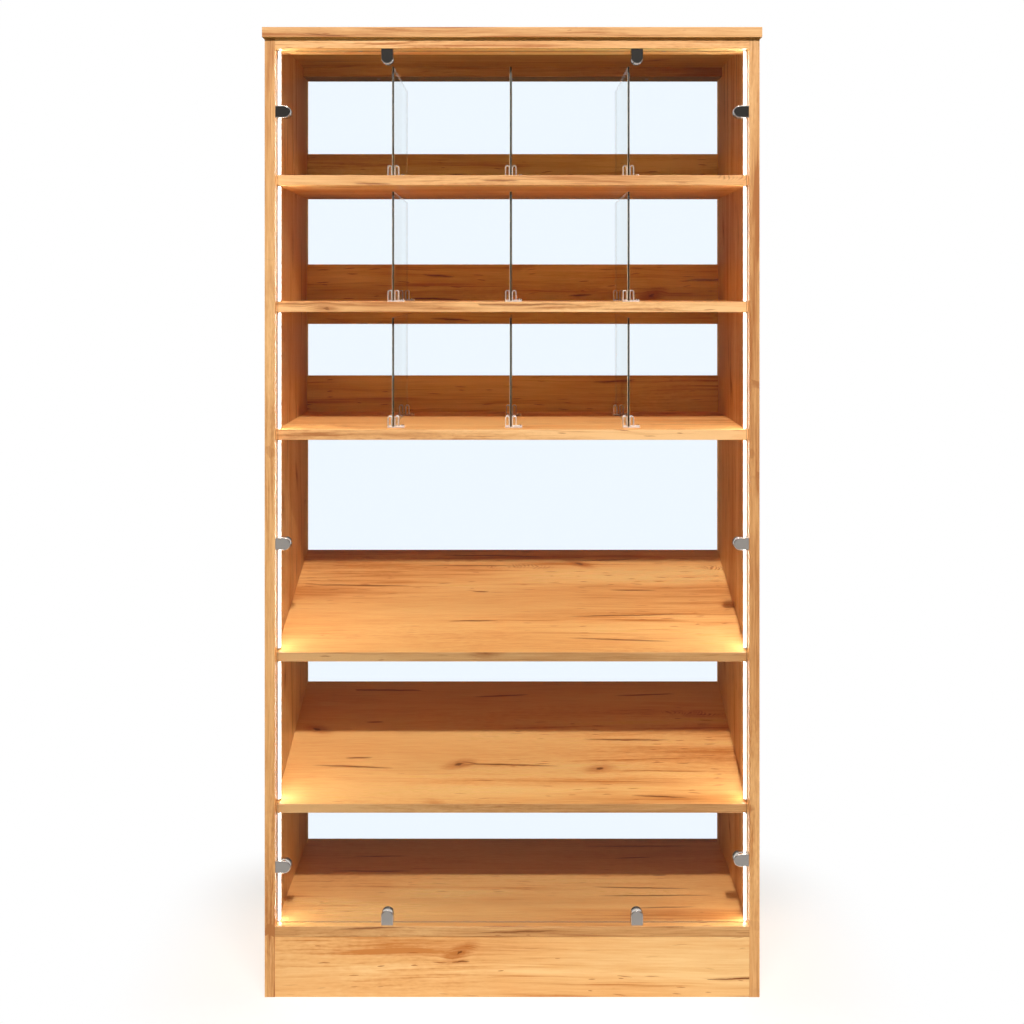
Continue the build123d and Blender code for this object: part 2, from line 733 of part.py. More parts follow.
for x in (flange_x[0] + inlet_flange_margin / 2, flange_x[1] - inlet_flange_margin / 2):
    face = (x, plinth_rear_face + inlet_flange, inlet_z)
    inward = (0, -1, 0)
    head = rod(face, inward, small_screw_head / 2, inlet_flange / 2)
    shank = rod(face, inward, small_screw_diameter / 2, small_screw_length)
    slot = block(
        (x - small_screw_head, x + small_screw_head),
        (face[1] - slot_depth / 2, face[1]),
        (inlet_z - slot_width / 2, inlet_z + slot_width / 2),
    )
    inlet_screws.append(head + shank - slot)
    hole_length = small_screw_length + hole_end_play
    hole = rod(face, inward, small_screw_diameter / 2 + hole_clearance, hole_length)
    sink = rod(face, inward, small_screw_head / 2 + hole_clearance, inlet_flange / 2)
    inlet = inlet - hole - sink
    plinth_rear_holes.append(hole)
cavity_floor = plinth_rear_face + inlet_flange - inlet_cavity_depth
inlet_pins = []
for step in (-1, 0, 1):
    x = inlet_x + step * pin_pitch
    inlet_pins.append(
        block(
            (x - pin_height / 2, x + pin_height / 2),
            (cavity_floor, cavity_floor + pin_length),
            (inlet_z - pin_width / 2, inlet_z + pin_width / 2),
        )
    )

mains_z = plinth_height - lead_drop - mains_diameter / 2
mains_turn = inlet_front - 2 * lead_bend
mains_points = [
    (inlet_x, driver_y[1], mains_z),
    (inlet_x, mains_turn, mains_z),
    (inlet_x, mains_turn, inlet_z),
    (inlet_x, inlet_front, inlet_z),
]
mains_lead = lead_tube(mains_points, mains_diameter, [lead_bend, lead_bend])

# Side panels, cap and plinth boards
edge_bands_side = []
side_panels = {}
for side, name in ((-1, "side_panel_left"), (1, "side_panel_right")):
    x = sorted((side * inner, side * cabinet_width / 2))
    body = block(x, (front + band, rear - band), (0, panel_top))
    side_panels[name] = cut(body, side_holes[side])
    edge_bands_side.append(banding(x, (front, front + band), (0, panel_top), Axis.Y, -1))
    edge_bands_side.append(banding(x, (rear - band, rear), (0, panel_top), Axis.Y, 1))

cap_z = (panel_top, cabinet_height)
cap_inside = (cap_front + band, rear - band)
cap = cut(block((band - cap_half, cap_half - band), cap_inside, cap_z), cap_holes)
cap_bands = [
    banding((-cap_half, cap_half), (cap_front, cap_front + band), cap_z, Axis.Y, -1),
    banding((-cap_half, cap_half), (rear - band, rear), cap_z, Axis.Y, 1),
    banding((-cap_half, band - cap_half), cap_inside, cap_z, Axis.X, -1),
    banding((cap_half - band, cap_half), cap_inside, cap_z, Axis.X, 1),
]

kick_front = front + kick_recess
kick_board = block((-inner, inner), (kick_front, kick_front + board), (0, plinth_height))
plinth_rear = block(
    (-inner, inner), (plinth_rear_face - board, plinth_rear_face), (0, plinth_height)
)

# Write every node
for name, panel in side_panels.items():
    save(name, panel)
save("top_cap", cap)
for shelf in rails + full_boards:
    save(shelf.name, shelf.body())
save("kick_board", cut(kick_board, kick_holes))
save("plinth_board_rear", cut(plinth_rear, plinth_rear_holes))
for name, stop in stops.items():
    save(name, stop)
save("shelf_stiffener", cut(stiffener, stiffener_holes))
save("edge_bands_sides", edge_bands_side)
save("edge_bands_boards", [strip for shelf in rails + full_boards for strip in shelf.bands()])
save("edge_bands_cap", cap_bands)
save("edge_bands_stops", narrow_bands)
save("front_glass", pane)
for name, sheet in dividers.items():
    save(name, sheet)
for name, clips in clip_groups.items():
    save(name, clips)
save("divider_clip_screws", clip_screws)
for group, clamps in clamp_groups.items():
    save(f"glass_clamps_{group}", clamps)
save("clamp_pads", clamp_pads)
save("clamp_screws", clamp_screws)
save("clamp_set_screws", set_screws)
for side, name in ((-1, "left"), (1, "right")):
    save(f"light_channels_{name}", strip_parts[side]["channel"])
    save(f"light_covers_{name}", strip_parts[side]["cover"])
save("light_tapes", tapes)
save("light_end_caps", strip_caps)
save("light_jumper_leads", jumpers)
save("light_feed_leads", feed_leads)
save("lead_clips", lead_clips)
save("power_supply", driver)
save("power_inlet", inlet)
save("power_screws", driver_screws + inlet_screws)
save("power_inlet_pins", inlet_pins)
save("mains_lead", mains_lead)
save("confirmat_screws", confirmats)
save("screw_covers", covers)
save("dowels", dowels)
save("wood_screws", wood_screws)
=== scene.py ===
import math

import bpy
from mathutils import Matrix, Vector


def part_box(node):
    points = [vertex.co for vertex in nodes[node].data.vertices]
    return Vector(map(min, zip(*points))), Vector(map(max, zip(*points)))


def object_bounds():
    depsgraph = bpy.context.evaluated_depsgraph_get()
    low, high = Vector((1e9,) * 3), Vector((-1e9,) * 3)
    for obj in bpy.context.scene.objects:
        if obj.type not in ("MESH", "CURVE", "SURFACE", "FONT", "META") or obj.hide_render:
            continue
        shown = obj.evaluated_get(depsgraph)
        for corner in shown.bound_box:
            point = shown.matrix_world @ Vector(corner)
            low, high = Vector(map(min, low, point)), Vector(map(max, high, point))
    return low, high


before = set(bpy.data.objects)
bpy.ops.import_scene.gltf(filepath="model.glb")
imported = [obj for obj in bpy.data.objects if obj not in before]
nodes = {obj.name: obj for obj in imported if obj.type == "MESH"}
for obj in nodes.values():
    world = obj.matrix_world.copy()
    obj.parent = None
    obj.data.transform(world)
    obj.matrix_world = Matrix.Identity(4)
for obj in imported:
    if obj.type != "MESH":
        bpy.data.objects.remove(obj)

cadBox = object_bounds()
for leftover in ("Cube", "Light", "Camera"):  # the factory scene's own objects
    if leftover in bpy.data.objects:
        bpy.data.objects.remove(bpy.data.objects[leftover])
print("frame loaded:", len(nodes), "nodes")


# camera: level, at eye height, in front of the glass
cameraSet = {"lens": 49.55, "x": 0.0068, "distance": 2.478, "eyeHeight": 1.243,
             "shiftX": -0.0039, "shiftY": -0.2168, "clipEnd": 100}
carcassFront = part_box("side_panel_left")[0][1]
cameraData = bpy.data.cameras.new("photoCamera")
cameraData.sensor_fit = "HORIZONTAL"
cameraData.lens = cameraSet["lens"]
cameraData.shift_x = cameraSet["shiftX"]
cameraData.shift_y = cameraSet["shiftY"]
cameraData.clip_end = cameraSet["clipEnd"]
camera = bpy.data.objects.new("photoCamera", cameraData)
camera.location = (cameraSet["x"], carcassFront - cameraSet["distance"], cameraSet["eyeHeight"])
camera.rotation_euler = (math.radians(90), 0, 0)
bpy.context.collection.objects.link(camera)
bpy.context.scene.camera = camera
bpy.context.scene.view_settings.view_transform = "Standard"
print("camera placed")


# small helpers for node trees
def colour(r, g, b):  # 0-255 display values to a linear colour
    def linear(v):
        v /= 255
        return v / 12.92 if v <= 0.04045 else ((v + 0.055) / 1.055) ** 2.4
    return (linear(r), linear(g), linear(b), 1.0)


def grey(level):
    return (level, level, level, 1.0)


def addNode(tree, kind, **settings):
    node = tree.nodes.new(kind)
    for key, value in settings.items():
        setattr(node, key, value)
    return node


def feed(tree, socket, value):
    if isinstance(value, bpy.types.NodeSocket):
        tree.links.new(value, socket)
    else:
        socket.default_value = value


def mathOf(tree, operation, a, b=None, c=None, clamp=False):
    node = addNode(tree, "ShaderNodeMath", operation=operation, use_clamp=clamp)
    for socket, value in zip(node.inputs, (a, b, c)):
        if value is not None:
            feed(tree, socket, value)
    return node.outputs[0]


def squaresOf(tree, a, b):
    return mathOf(tree, "ADD", mathOf(tree, "MULTIPLY", a, a), mathOf(tree, "MULTIPLY", b, b))


def rangeOf(tree, value, low, high, toLow=0.0, toHigh=1.0, smooth=True):
    node = addNode(tree, "ShaderNodeMapRange",
                   interpolation_type="SMOOTHSTEP" if smooth else "LINEAR")
    feed(tree, node.inputs["Value"], value)
    for name, number in (("From Min", low), ("From Max", high), ("To Min", toLow), ("To Max", toHigh)):
        feed(tree, node.inputs[name], number)
    return node.outputs["Result"]


def placed(tree, vector, scale=(1, 1, 1), shift=(0, 0, 0), turn=(0, 0, 0)):
    node = addNode(tree, "ShaderNodeMapping")
    feed(tree, node.inputs["Vector"], vector)
    node.inputs["Scale"].default_value = scale
    node.inputs["Location"].default_value = shift
    node.inputs["Rotation"].default_value = turn
    return node.outputs["Vector"]


def noiseOf(tree, vector, scale, detail=2.0, roughness=0.5, shift=(0, 0, 0)):
    node = addNode(tree, "ShaderNodeTexNoise")
    feed(tree, node.inputs["Vector"], placed(tree, vector, scale, shift))
    node.inputs["Scale"].default_value = 1.0
    node.inputs["Detail"].default_value = detail
    node.inputs["Roughness"].default_value = roughness
    return node.outputs["Fac"]


def mixOf(tree, factor, a, b, blend="MIX"):
    node = addNode(tree, "ShaderNodeMix", data_type="RGBA", blend_type=blend)
    feed(tree, node.inputs[0], factor)
    feed(tree, node.inputs[6], a)
    feed(tree, node.inputs[7], b)
    return node.outputs[2]


def axesOf(tree, vector):
    node = addNode(tree, "ShaderNodeSeparateXYZ")
    feed(tree, node.inputs[0], vector)
    return node.outputs


def facingOf(tree):
    return axesOf(tree, addNode(tree, "ShaderNodeTexCoord").outputs["Normal"])


def shaderMix(tree, kind, *inputs):
    node = addNode(tree, kind)
    for socket, value in zip(node.inputs, inputs):
        feed(tree, socket, value)
    return node.outputs[0]


def layOver(tree, share, surface, kind, tint):  # a plain shader over a share of the surface
    layer = addNode(tree, kind)
    feed(tree, layer.inputs[0], tint)
    return shaderMix(tree, "ShaderNodeMixShader", share, surface, layer.outputs[0])


def bumpOf(tree, height, strength, distance):
    node = addNode(tree, "ShaderNodeBump")
    feed(tree, node.inputs["Height"], height)
    node.inputs["Strength"].default_value = strength
    node.inputs["Distance"].default_value = distance
    return node.outputs["Normal"]


def show(tree, result, socket="Surface"):
    tree.links.new(result, tree.get_output_node("ALL").inputs[socket])


def startMaterial(name):
    material = bpy.data.materials.new(name)
    material.use_nodes = True
    tree = material.node_tree
    tree.nodes.clear()
    shader = addNode(tree, "ShaderNodeBsdfPrincipled")
    addNode(tree, "ShaderNodeOutputMaterial")
    show(tree, shader.outputs[0])
    where = addNode(tree, "ShaderNodeTexCoord").outputs["Object"]
    return material, tree, shader, where


def dress(material, *names):
    for name in names:
        for slot in nodes[name].material_slots:
            slot.material = material


# oak: one figure, x along the grain, y across it, z into the board, all in metres
figureSet = {
    "sway": 0.022, "smallSway": 0.13,
    "knot": {"cells": (3.4, 9.5), "shift": (0.2, 0.7, 0), "share": 0.26, "size": (0.0016, 0.0042),
             "bend": 0.006, "reach": 0.020, "uneven": 0.0075, "stretch": 0.45, "tilt": 0.5},
    "crack": {"cells": (3.8, 26), "shift": (0.37, 0.61, 0), "share": 0.25, "reach": (0.014, 0.12),
              "slant": 0.06, "width": 0.0014, "wobble": 0.0032, "stain": 0.0048},
    "tick": {"cells": (19, 85), "shift": (0.9, 0.3, 0), "share": 0.30, "reach": (0.004, 0.016),
             "slant": 0.10, "width": 0.0012},
    "feather": {"cells": (2.0, 5.5), "shift": (0.55, 0.15, 0), "share": 0.30, "reach": (0.075, 0.013),
                "pitch": 0.0075, "curve": 1.8, "uneven": 4.0},
    "tone": {"middle": 0.62, "ground": 1.1, "streaks": 1.5, "fibres": 0.6, "ripples": 0.45,
             "thin": -0.34, "pores": -0.10, "knots": -0.25},
    "red": {"feathers": 0.85, "stains": 0.80, "ticks": 0.75, "knots": 0.45},
    "dark": {"cracks": 0.85, "hearts": 0.75},
    "height": {"fibres": 0.6, "thin": -0.25, "pores": -0.6, "dark": -1.0},
}
figureNoises = {  # waves per metre along, across and into the board, detail, roughness, shift
    "uneven": ((120, 160, 160), 1.5, 0.6, (2, 2, 5)),
    "drift": ((2.2, 6, 6), 2.0, 0.5, (3, 0, 0)),
    "smallDrift": ((13, 34, 34), 1.5, 0.5, (5, 1, 0)),
    "lively": ((1.5, 8, 8), 1.5, 0.5, (2, 7, 1)),
    "ground": ((1.6, 7, 7), 2.0, 0.5, (0, 4, 6)),
    "streak": ((1.5, 34, 34), 4.0, 0.62, (0, 4, 0)),
    "thin": ((3.4, 130, 130), 2.0, 0.6, (4, 4, 0)),
    "fibre": ((14, 330, 330), 2.0, 0.6, (0, 0, 0)),
    "pore": ((110, 1700, 1700), 1.0, 0.5, (0, 0, 0)),
    "rippled": ((2.0, 9, 9), 1.0, 0.5, (8, 3, 2)),
    "ripple": ((75, 260, 260), 1.5, 0.55, (1, 5, 2)),
    "wobble": ((45, 45, 45), 2.0, 0.6, (1, 1, 7)),
    "arcs": ((36, 60, 60), 1.0, 0.5, (6, 6, 6)),
    "clump": ((34, 60, 60), 1.0, 0.5, (9, 2, 6)),
}


figureSteps = {  # from where to where each one sets in, and for lively how weak and how strong
    "heart": (1.2, 0.5), "line": (1.0, 0.35), "lively": (0.36, 0.66, 0.15, 1.35), "thin": (0.53, 0.70),
    "pore": (0.60, 0.70), "rippled": (0.46, 0.62), "patch": (0.0, 0.5), "clump": (0.40, 0.58),
    "arc": (0.18, 0.50),
}


def stepOf(tree, kind, value):
    return rangeOf(tree, value, *figureSteps[kind])


def cellOf(tree, place, mark):
    # where a point is inside its cell, and three chances that belong to the cell
    long, high = mark["cells"]
    lattice = addNode(tree, "ShaderNodeTexVoronoi", voronoi_dimensions="2D", feature="F1")
    spot = placed(tree, place, (long, high, 0), mark["shift"])
    feed(tree, lattice.inputs["Vector"], spot)
    lattice.inputs["Scale"].default_value = 1.0
    lattice.inputs["Randomness"].default_value = 0.8
    offset = addNode(tree, "ShaderNodeVectorMath", operation="SUBTRACT")
    feed(tree, offset.inputs[0], spot)
    feed(tree, offset.inputs[1], lattice.outputs["Position"])
    way = axesOf(tree, placed(tree, offset.outputs[0], (1 / long, 1 / high, 1)))
    chance = addNode(tree, "ShaderNodeSeparateColor")
    feed(tree, chance.inputs[0], lattice.outputs["Color"])
    return way["X"], way["Y"], chance.outputs


def dashOf(tree, place, mark, wobble):
    # a thin line in some of the cells, which tapers to both ends
    x, y, chance = cellOf(tree, place, mark)
    half = rangeOf(tree, chance[1], 0.0, 1.0, *mark["reach"], smooth=False)
    along = mathOf(tree, "DIVIDE", x, half)
    taper = mathOf(tree, "SUBTRACT", 1.0, mathOf(tree, "MULTIPLY", along, along), clamp=True)
    slant = rangeOf(tree, chance[2], 0.0, 1.0, -mark["slant"], mark["slant"], smooth=False)
    across = mathOf(tree, "MULTIPLY_ADD", x, slant, y)
    off = mathOf(tree, "ABSOLUTE", mathOf(tree, "ADD", wobble, across))
    on = mathOf(tree, "LESS_THAN", chance[0], mark["share"])
    # the tiny part keeps the division safe at the tips
    line = mathOf(tree, "DIVIDE", off, mathOf(tree, "MULTIPLY_ADD", taper, mark["width"], 1e-5))
    line = mathOf(tree, "MULTIPLY", stepOf(tree, "line", line), on)
    return line, off, mathOf(tree, "MULTIPLY", taper, on)


def makeOakFigure():
    tree = bpy.data.node_groups.new("oakFigure", "ShaderNodeTree")
    tree.interface.new_socket(name="Place", in_out="INPUT", socket_type="NodeSocketVector")
    for name in ("Tone", "Red", "Dark", "Height"):
        tree.interface.new_socket(name=name, in_out="OUTPUT", socket_type="NodeSocketFloat")
    start = addNode(tree, "NodeGroupInput").outputs[0]
    end = addNode(tree, "NodeGroupOutput")

    def centred(value):
        return mathOf(tree, "SUBTRACT", value, 0.5)

    def waves(kind, place):
        return noiseOf(tree, place, *figureNoises[kind])

    # knots in a few cells: a small dark heart that the grain bends round
    knot = figureSet["knot"]
    knotX, knotY, knotChance = cellOf(tree, start, knot)
    kept = mathOf(tree, "LESS_THAN", knotChance[0], knot["share"])
    tilt = rangeOf(tree, knotChance[2], 0.0, 1.0, -knot["tilt"], knot["tilt"], smooth=False)
    uneven = mathOf(tree, "MULTIPLY", centred(waves("uneven", start)), knot["uneven"])
    reachOut = mathOf(tree, "MULTIPLY", knotX, knot["stretch"])
    rise = mathOf(tree, "ADD", mathOf(tree, "MULTIPLY_ADD", knotX, tilt, knotY), uneven)
    knotFar = mathOf(tree, "SQRT", squaresOf(tree, reachOut, rise))
    knotSize = rangeOf(tree, knotChance[1], 0.0, 1.0, *knot["size"], smooth=False)
    heart = stepOf(tree, "heart", mathOf(tree, "DIVIDE", knotFar, knotSize))
    heart = mathOf(tree, "MULTIPLY", heart, kept)
    near = mathOf(tree, "MULTIPLY", rangeOf(tree, knotFar, knot["reach"], 0.0), kept)
    push = mathOf(tree, "MULTIPLY", mathOf(tree, "SIGN", knotY), near)
    push = mathOf(tree, "MULTIPLY", push, -knot["bend"])

    # slow sideways drift, so that no line runs quite straight
    smallSway = figureSet["sway"] * figureSet["smallSway"]
    sway = mathOf(tree, "MULTIPLY_ADD", centred(waves("drift", start)), figureSet["sway"], push)
    sway = mathOf(tree, "MULTIPLY_ADD", centred(waves("smallDrift", start)), smallSway, sway)
    shift = addNode(tree, "ShaderNodeCombineXYZ")
    feed(tree, shift.inputs[1], sway)
    swayed = addNode(tree, "ShaderNodeVectorMath", operation="ADD")
    feed(tree, swayed.inputs[0], start)
    feed(tree, swayed.inputs[1], shift.outputs[0])
    grain = swayed.outputs[0]

    # calm and lively areas, thin lines, fibres and pores, fine ripples in places
    lively = stepOf(tree, "lively", waves("lively", grain))
    thin = stepOf(tree, "thin", waves("thin", grain))
    fibre = waves("fibre", grain)
    pore = stepOf(tree, "pore", waves("pore", grain))
    rippled = stepOf(tree, "rippled", waves("rippled", grain))

    # dark cracks and short ticks
    wobble = mathOf(tree, "MULTIPLY", centred(waves("wobble", start)), figureSet["crack"]["wobble"])
    crack, crackOff, crackTaper = dashOf(tree, grain, figureSet["crack"], wobble)
    stain = mathOf(tree, "MULTIPLY", rangeOf(tree, crackOff, figureSet["crack"]["stain"], 0.0), crackTaper)
    tick = mathOf(tree, "MULTIPLY", dashOf(tree, grain, figureSet["tick"], wobble)[0], lively)

    # feathers: a row of small nested arcs in a long low patch
    mark = figureSet["feather"]
    featherX, featherY, featherChance = cellOf(tree, start, mark)
    longWay = mathOf(tree, "DIVIDE", featherX, mark["reach"][0])
    highWay = mathOf(tree, "DIVIDE", featherY, mark["reach"][1])
    inPatch = mathOf(tree, "SUBTRACT", 1.0, squaresOf(tree, longWay, highWay), clamp=True)
    inPatch = mathOf(tree, "MULTIPLY", stepOf(tree, "patch", inPatch),
                     mathOf(tree, "LESS_THAN", featherChance[0], mark["share"]))
    arc = mathOf(tree, "MULTIPLY_ADD", mathOf(tree, "MULTIPLY", highWay, highWay), mark["curve"],
                 mathOf(tree, "DIVIDE", featherX, mark["pitch"]))
    arc = mathOf(tree, "MULTIPLY_ADD", waves("arcs", start), mark["uneven"], arc)
    arc = stepOf(tree, "arc", mathOf(tree, "PINGPONG", arc, 0.5))
    clump = stepOf(tree, "clump", waves("clump", start))
    feather = mathOf(tree, "MULTIPLY", arc, mathOf(tree, "MULTIPLY", inPatch, clump))

    parts = {
        "ground": centred(waves("ground", grain)),
        "streaks": mathOf(tree, "MULTIPLY", centred(waves("streak", grain)), lively),
        "fibres": centred(fibre),
        "ripples": mathOf(tree, "MULTIPLY", centred(waves("ripple", start)), rippled),
        "thin": mathOf(tree, "MULTIPLY", thin, lively),
        "pores": pore,
        "knots": near,
    }
    tone = figureSet["tone"]["middle"]
    for kind, value in parts.items():
        tone = mathOf(tree, "MULTIPLY_ADD", value, figureSet["tone"][kind], tone)
    red = mathOf(tree, "MULTIPLY", stain, figureSet["red"]["stains"])
    for kind, value in (("feathers", feather), ("ticks", tick), ("knots", near)):
        red = mathOf(tree, "MULTIPLY_ADD", value, figureSet["red"][kind], red, clamp=kind == "knots")
    dark = mathOf(tree, "MAXIMUM", mathOf(tree, "MULTIPLY", crack, figureSet["dark"]["cracks"]),
                  mathOf(tree, "MULTIPLY", heart, figureSet["dark"]["hearts"]))
    height = 0.0
    for kind, value in (("fibres", fibre), ("thin", thin), ("pores", pore), ("dark", dark)):
        height = mathOf(tree, "MULTIPLY_ADD", value, figureSet["height"][kind], height)
    for name, value in (("Tone", tone), ("Red", red), ("Dark", dark), ("Height", height)):
        feed(tree, end.inputs[name], value)
    return tree


oakFigure = makeOakFigure()

# stains of the boards by where they stand, the shade colours being painted shade on the boards that stand
# in the shade, and what else sets bands and sheen apart
boardColours = {"dark": (206, 132, 70), "ground": (238, 180, 119), "pale": (250, 206, 148),
                "red": (176, 98, 44), "crack": (98, 46, 14)}
bandColours = {"dark": (170, 108, 62), "ground": (208, 154, 101), "pale": (228, 180, 127),
               "red": (168, 108, 64), "crack": (128, 78, 42)}
insideColours = {"dark": (204, 126, 58), "ground": (238, 173, 101), "pale": (250, 200, 126),
                 "red": (172, 90, 34), "crack": (86, 38, 10)}
sideColours = {"dark": (198, 126, 66), "ground": (232, 175, 110), "pale": (246, 201, 136),
               "red": (166, 92, 40), "crack": (80, 40, 14)}
shadeColours = {"dark": (172, 105, 34), "ground": (206, 155, 66), "pale": (226, 178, 90),
                "red": (148, 82, 24), "crack": (74, 34, 8)}
# painted shade: the low gain and the rear tint darken the shelf bands low down and at the rear
bandSet = {"contrast": 1.35, "lowShadeGain": 0.72, "lowEnd": 0.62, "highStart": 0.92,
           "rearShadeTint": (0.62, 0.60, 0.40, 1.0), "rearStart": 0.0, "rearEnd": 0.1}
sheenSet = {"plain": {"specular": 0.18, "rough": (0.48, 0.38)},
            "satin": {"specular": 0.34, "rough": (0.34, 0.26)},
            "bump": 0.2, "relief": 0.0006}
rampSet = {"dark": 0.10, "ground": 0.55, "pale": 0.95}
litGain = 0.9  # gain of the usual oak on the rear and the top of the boards that carry painted shade on their other faces
alongX = (0, 0, 0)
uprightX = (math.radians(90), 0, 0)  # x stays along the grain, z comes across it
alongZ = (0, math.radians(90), 0)    # z comes along the grain


def makeOak(name, turn, shift, colours, gain, paintedFalloff=False, sheen="plain"):
    material, tree, shader, where = startMaterial(name)
    figure = addNode(tree, "ShaderNodeGroup", node_tree=oakFigure)
    feed(tree, figure.inputs["Place"], placed(tree, where, shift=shift, turn=turn))

    def tintOf(colours, gain):
        stain = {key: tuple(min(c * gain, 1.0) for c in colour(*value)[:3]) + (1.0,)
                 for key, value in colours.items()}
        ramp = addNode(tree, "ShaderNodeValToRGB")
        contrast = bandSet["contrast"] if colours is bandColours else 1.0
        feed(tree, ramp.inputs[0], mathOf(tree, "MULTIPLY_ADD", figure.outputs["Tone"], contrast,
                                          figureSet["tone"]["middle"] * (1 - contrast)))
        stops = ramp.color_ramp.elements
        for stop, key in ((stops[0], "dark"), (stops[1], "pale")):
            stop.position = rampSet[key]
            stop.color = stain[key]
        stops.new(rampSet["ground"]).color = stain["ground"]
        tint = mixOf(tree, figure.outputs["Red"], ramp.outputs[0], stain["red"])
        return mixOf(tree, figure.outputs["Dark"], tint, stain["crack"])

    tint = tintOf(colours, gain)
    if colours is shadeColours:  # painted shade on the faces to the front and below, the usual oak on the faces to the rear and on top
        facing = facingOf(tree)
        lit = mathOf(tree, "GREATER_THAN", mathOf(tree, "MAXIMUM", facing["Y"], facing["Z"]), 0.5)
        tint = mixOf(tree, lit, tint, tintOf(boardColours, litGain))
    if paintedFalloff:  # painted shade: darker bands low down and at the rear
        place = axesOf(tree, where)
        low = rangeOf(tree, place["Z"], bandSet["lowEnd"], bandSet["highStart"], bandSet["lowShadeGain"], 1.0)
        tint = mixOf(tree, 1.0, tint, low, "MULTIPLY")
        rear = rangeOf(tree, place["Y"], bandSet["rearStart"], bandSet["rearEnd"])
        tint = mixOf(tree, rear, tint, mixOf(tree, 1.0, tint, bandSet["rearShadeTint"], "MULTIPLY"))
    feed(tree, shader.inputs["Base Color"], tint)
    feed(tree, shader.inputs["Roughness"],
         rangeOf(tree, figure.outputs["Tone"], 0.1, 1.0, *sheenSet[sheen]["rough"], smooth=False))
    shader.inputs["Specular IOR Level"].default_value = sheenSet[sheen]["specular"]
    feed(tree, shader.inputs["Normal"],
         bumpOf(tree, figure.outputs["Height"], sheenSet["bump"], sheenSet["relief"]))
    return material


boards = {  # node: direction of the grain, shift of the figure, colours, gain
    # painted shade: the cap, the rear rail, the stops, the stiffener and the stop bands take the shade
    # colours
    "top_cap": (alongX, (0.3, 1.1, 0.2), shadeColours, 0.75),
    # painted light: the gain above one brightens the front rail, its underside included
    "top_rail_front": (alongX, (2.1, 0.4, 0.9), boardColours, 1.4),
    "top_rail_rear": (alongX, (3.7, 2.4, 0.1), shadeColours, 0.5),
    "shelf_upper": (alongX, (5.0, 0.7, 1.3), insideColours, 0.95),
    "shelf_middle": (alongX, (7.2, 3.1, 2.2), insideColours, 0.95),
    "shelf_lower": (alongX, (9.1, 1.9, 3.4), insideColours, 1.0),
    "sloped_shelf_upper": (alongX, (11.3, 4.6, 0.5), insideColours, 0.86),
    "sloped_shelf_lower": (alongX, (13.9, 2.8, 5.1), insideColours, 0.84),
    "bottom_panel": (alongX, (15.2, 6.3, 1.7), insideColours, 0.85),
    "kick_board": (uprightX, (17.4, 5.5, 2.6), boardColours, 0.91),
    "plinth_board_rear": (uprightX, (19.6, 0.2, 4.4), boardColours, 1.0),
    "back_stop_upper": (uprightX, (21.1, 3.3, 6.0), shadeColours, 0.98),
    "back_stop_middle": (uprightX, (23.5, 7.1, 0.8), shadeColours, 1.22),
    "back_stop_lower": (uprightX, (25.8, 1.2, 7.5), shadeColours, 1.08),
    "shelf_stiffener": (uprightX, (27.7, 8.4, 3.0), shadeColours, 1.0),
    "side_panel_left": (alongZ, (30.0, 9.2, 5.6), sideColours, 0.92),
    "side_panel_right": (alongZ, (33.3, 6.9, 8.1), sideColours, 0.92),
    "edge_bands_sides": (alongZ, (36.1, 4.0, 2.9), bandColours, 1.04),
    # painted light and shade: the high gain brightens the shelf bands, which are painted darker low down
    # and at the rear
    "edge_bands_boards": (uprightX, (39.4, 5.8, 9.3), bandColours, 1.24),
    "edge_bands_cap": (uprightX, (42.6, 0.6, 6.6), bandColours, 1.06),
    "edge_bands_stops": (alongX, (45.9, 7.7, 1.4), shadeColours, 1.0),
}
satinBoards = ("sloped_shelf_upper", "sloped_shelf_lower", "bottom_panel")
for name, (turn, shift, colours, gain) in boards.items():
    dress(makeOak("oak_" + name, turn, shift, colours, gain, paintedFalloff=name == "edge_bands_boards",
                  sheen="satin" if name in satinBoards else "plain"), name)
print("oak boards and bands dressed")


# glass and clear clips: what is common to them, and then each one's own edges
paneSet = {"tint": (0.99, 0.997, 1.0, 1.0), "ior": 1.52, "rough": 0.0, "shade": 1.0,
           "rim": (96, 72, 44), "rimShare": 0.85}
# painted highlight: the milky white share is larger on the sides and the top of the clips
clipSet = {"tint": (0.97, 0.97, 0.97, 1.0), "ior": 1.49, "rough": 0.12, "shade": 0.9,
           "milkAndHighlightSides": 0.95, "milkAndHighlightFront": 0.30, "darkMilkAndHighlight": 0.93, "brightMilkAndHighlight": 0.98}
dividerSet = {"tint": (0.96, 0.985, 0.98, 1.0), "ior": 1.52, "rough": 0.0, "shade": 1.0,
              "body": (0.45, 0.62, 0.50, 1.0), "density": 2.0, "through": 0.85,
              "edge": (30, 23, 12), "arrisHighlight": (228, 218, 196), "farArrisReflection": (150, 124, 92),
              "arrisStart": 0.0012, "arrisEnd": 0.0015, "groundShare": 0.92,
              "polished": (206, 216, 210), "polishedShare": 0.18}


